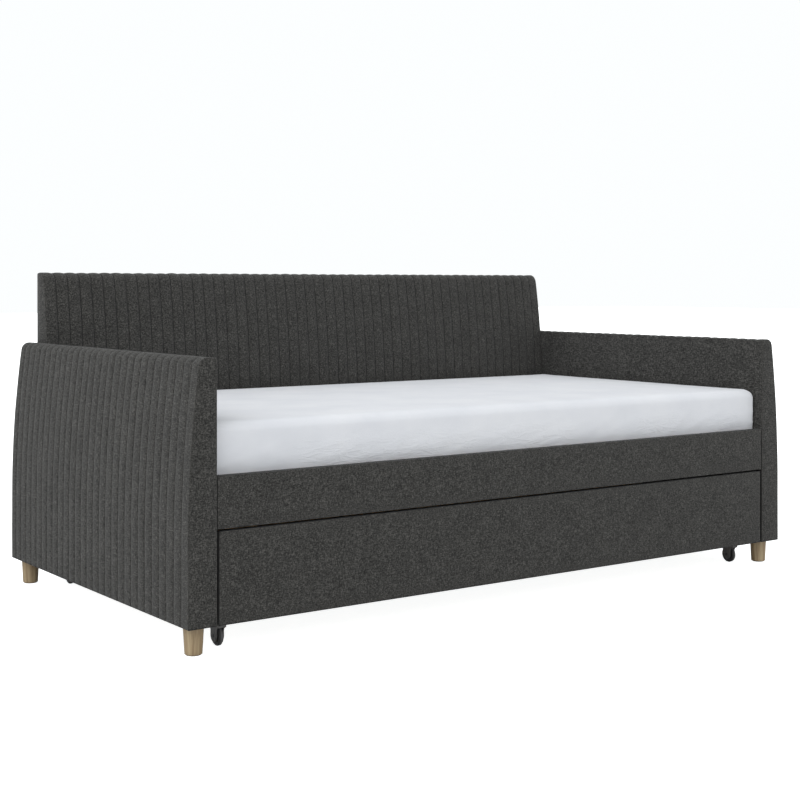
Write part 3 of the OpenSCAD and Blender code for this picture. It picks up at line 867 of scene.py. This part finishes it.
def make_arm(side, name, node):
    lo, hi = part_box(node)
    size = (hi.x - lo.x, (hi.y - lo.y) / 2, lo.z, hi.z)
    inner_x = lo.x if side > 0 else -hi.x
    middle_y = (lo.y + hi.y) / 2
    # How high the painted shade in the gap beside the rail's end reaches
    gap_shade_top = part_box("rail_cover")[1].z - 0.02

    def place(p, u, z):
        return Vector((side * (inner_x + p), middle_y + u, z))

    radii = (ARM_CURVE_R, ARM_EDGE_R)
    channel = (ARM_CHANNEL, ARM_SWELL, ARM_SEAM_SHADE)
    arm = channelled_panel(name, place, size, radii, channel, ARM_END_CROWN, gap_shade_top, 11.0 + side)
    return dress(arm, "daybed", fabric, node)


def make_back():
    lo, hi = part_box("back_cover")
    size = (hi.y - lo.y, (hi.x - lo.x) / 2, lo.z, hi.z)

    def place(p, u, z):
        return Vector((u, hi.y - p, z))

    radii = (BACK_CURVE_R, BACK_EDGE_R)
    channel = (BACK_CHANNEL, BACK_SWELL, BACK_SEAM_SHADE)
    back = channelled_panel("back_upholstery", place, size, radii, channel, BACK_END_CROWN, 0.0, 31.0)
    return dress(back, "daybed", fabric, "back_cover")


def make_front(name, node, body, end_shy, top_shy, seed):
    """A smooth front, short of its node by end_shy at each end and by top_shy at its top."""
    lo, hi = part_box(node)
    ends, top = Vector((end_shy, 0, 0)), Vector((0, 0, top_shy))
    panel = front_panel(name, lo + ends, hi - ends - top, seed)
    return dress(panel, body, fabric, node)


def make_mattress():
    lo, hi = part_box("mattress")
    reach, crown = Vector((MATTRESS_REACH, 0, 0)), Vector((0, 0, MATTRESS_CROWN))
    obj = rounded_block(
        "mattress_pad", lo - reach, hi + reach + crown, MATTRESS_EDGE_R, MATTRESS_CORNER_R, MATTRESS_CELL
    )
    inflate(obj, lo.z + 0.012, pressure=2.0, slack=0.008, cap=MATTRESS_SWELL)
    subdivide(obj)
    tuck_top = MATTRESS_TUCK_Z + MATTRESS_TUCK_RISE
    vertices = obj.data.vertices
    for v, normal in zip(vertices, [v.normal.copy() for v in vertices]):
        upright = max(0.0, 1 - abs(normal.z) * 1.6)
        low = 1 - limit((v.co.z - lo.z - 0.10) / 0.08, 0.0, 1.0)
        v.co += normal * MATTRESS_FOLD * fold(v.co, 3.0) * upright * (0.10 + 0.90 * low)
        tuck = limit((tuck_top - v.co.z) / MATTRESS_TUCK_RISE, 0.0, 1.0)
        inwards = math.copysign(MATTRESS_TUCK, v.co.y - (lo.y + hi.y) / 2)
        v.co.y -= inwards * tuck * tuck * abs(normal.y)
        v.co.z = max(v.co.z, lo.z)
    return dress(obj, "mattress", mattress_cloth, "mattress")


def finish_node(name, material, bevel):
    """Gives a CAD node its material, and eases its edges."""
    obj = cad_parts[name]
    obj.data.materials.clear()
    obj.data.materials.append(material)
    weld = obj.modifiers.new("weld", "WELD")
    weld.merge_threshold = SAME
    if bevel:
        eased = obj.modifiers.new("eased", "BEVEL")
        eased.width = bevel
        eased.segments = 2
        eased.limit_method = "ANGLE"
        eased.angle_limit = math.radians(35)


make_camera()
make_world()
make_floor()
make_key_light()

fabric = tweed_fabric()
mattress_cloth = mattress_fabric()

make_arm(1, "right_arm_upholstery", "right_arm_cover")
make_arm(-1, "left_arm_upholstery", "left_arm_cover")
make_back()
make_front("rail_upholstery", "rail_cover", "daybed", 0.0007, 0.0, 2.0)
make_front("trundle_front_upholstery", "trundle_front_cover", "trundle", 0.0012, 0.0010, 8.0)
make_mattress()

pine_x = wood("pine_along_x", 0, PINE)
pine_y = wood("pine_along_y", 1, PINE)
oak = wood("oak_leg", 2, OAK, ring=60.0, rough=0.5, coat=0.05)
plywood_x = plywood("plywood_upright_x", 0)
plywood_y = plywood("plywood_upright_y", 1)
lining = lining_fabric()
tape = webbing_tape()
steel = coated_steel()
pad = moulded_plastic("glide_pad", (0.010, 0.010, 0.010), (0.025, 0.025, 0.025), 0.6)
caster = moulded_plastic("caster_plastic", (0.095, 0.095, 0.096), (0.135, 0.135, 0.137), 0.45)
wheel = wheel_plastic()

# The material and eased edge of each CAD node that shows: the first name that fits counts
FINISHES = [
    ("*_tapes", tape, 0.0),
    ("slat_*", pine_y, 0.0015),
    ("trundle_slats", pine_y, 0.0015),
    ("trundle_*_runner", pine_y, 0.0015),
    ("*_ledge", pine_x, 0.001),
    ("*_arm_frame", plywood_x, 0.0008),
    ("trundle_*_side", plywood_x, 0.0008),
    ("back_frame", plywood_y, 0.0008),
    ("*_board", plywood_y, 0.0008),
    ("*_leg", oak, 0.0),
    ("*_dust_cover", lining, 0.0),
    ("*_caster_wheel", wheel, 0.0008),
    ("*_caster_fork", caster, 0.0008),
    ("leg_glides", pad, 0.0),
    ("*", steel, 0.0004),
]
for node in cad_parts:
    replaced = node == "mattress" or (node.endswith("_cover") and not node.endswith("_dust_cover"))
    if not replaced:
        material, bevel = next(rest for fits, *rest in FINISHES if fnmatch.fnmatch(node, fits))
        finish_node(node, material, bevel)

bpy.context.scene.view_settings.view_transform = "Standard"
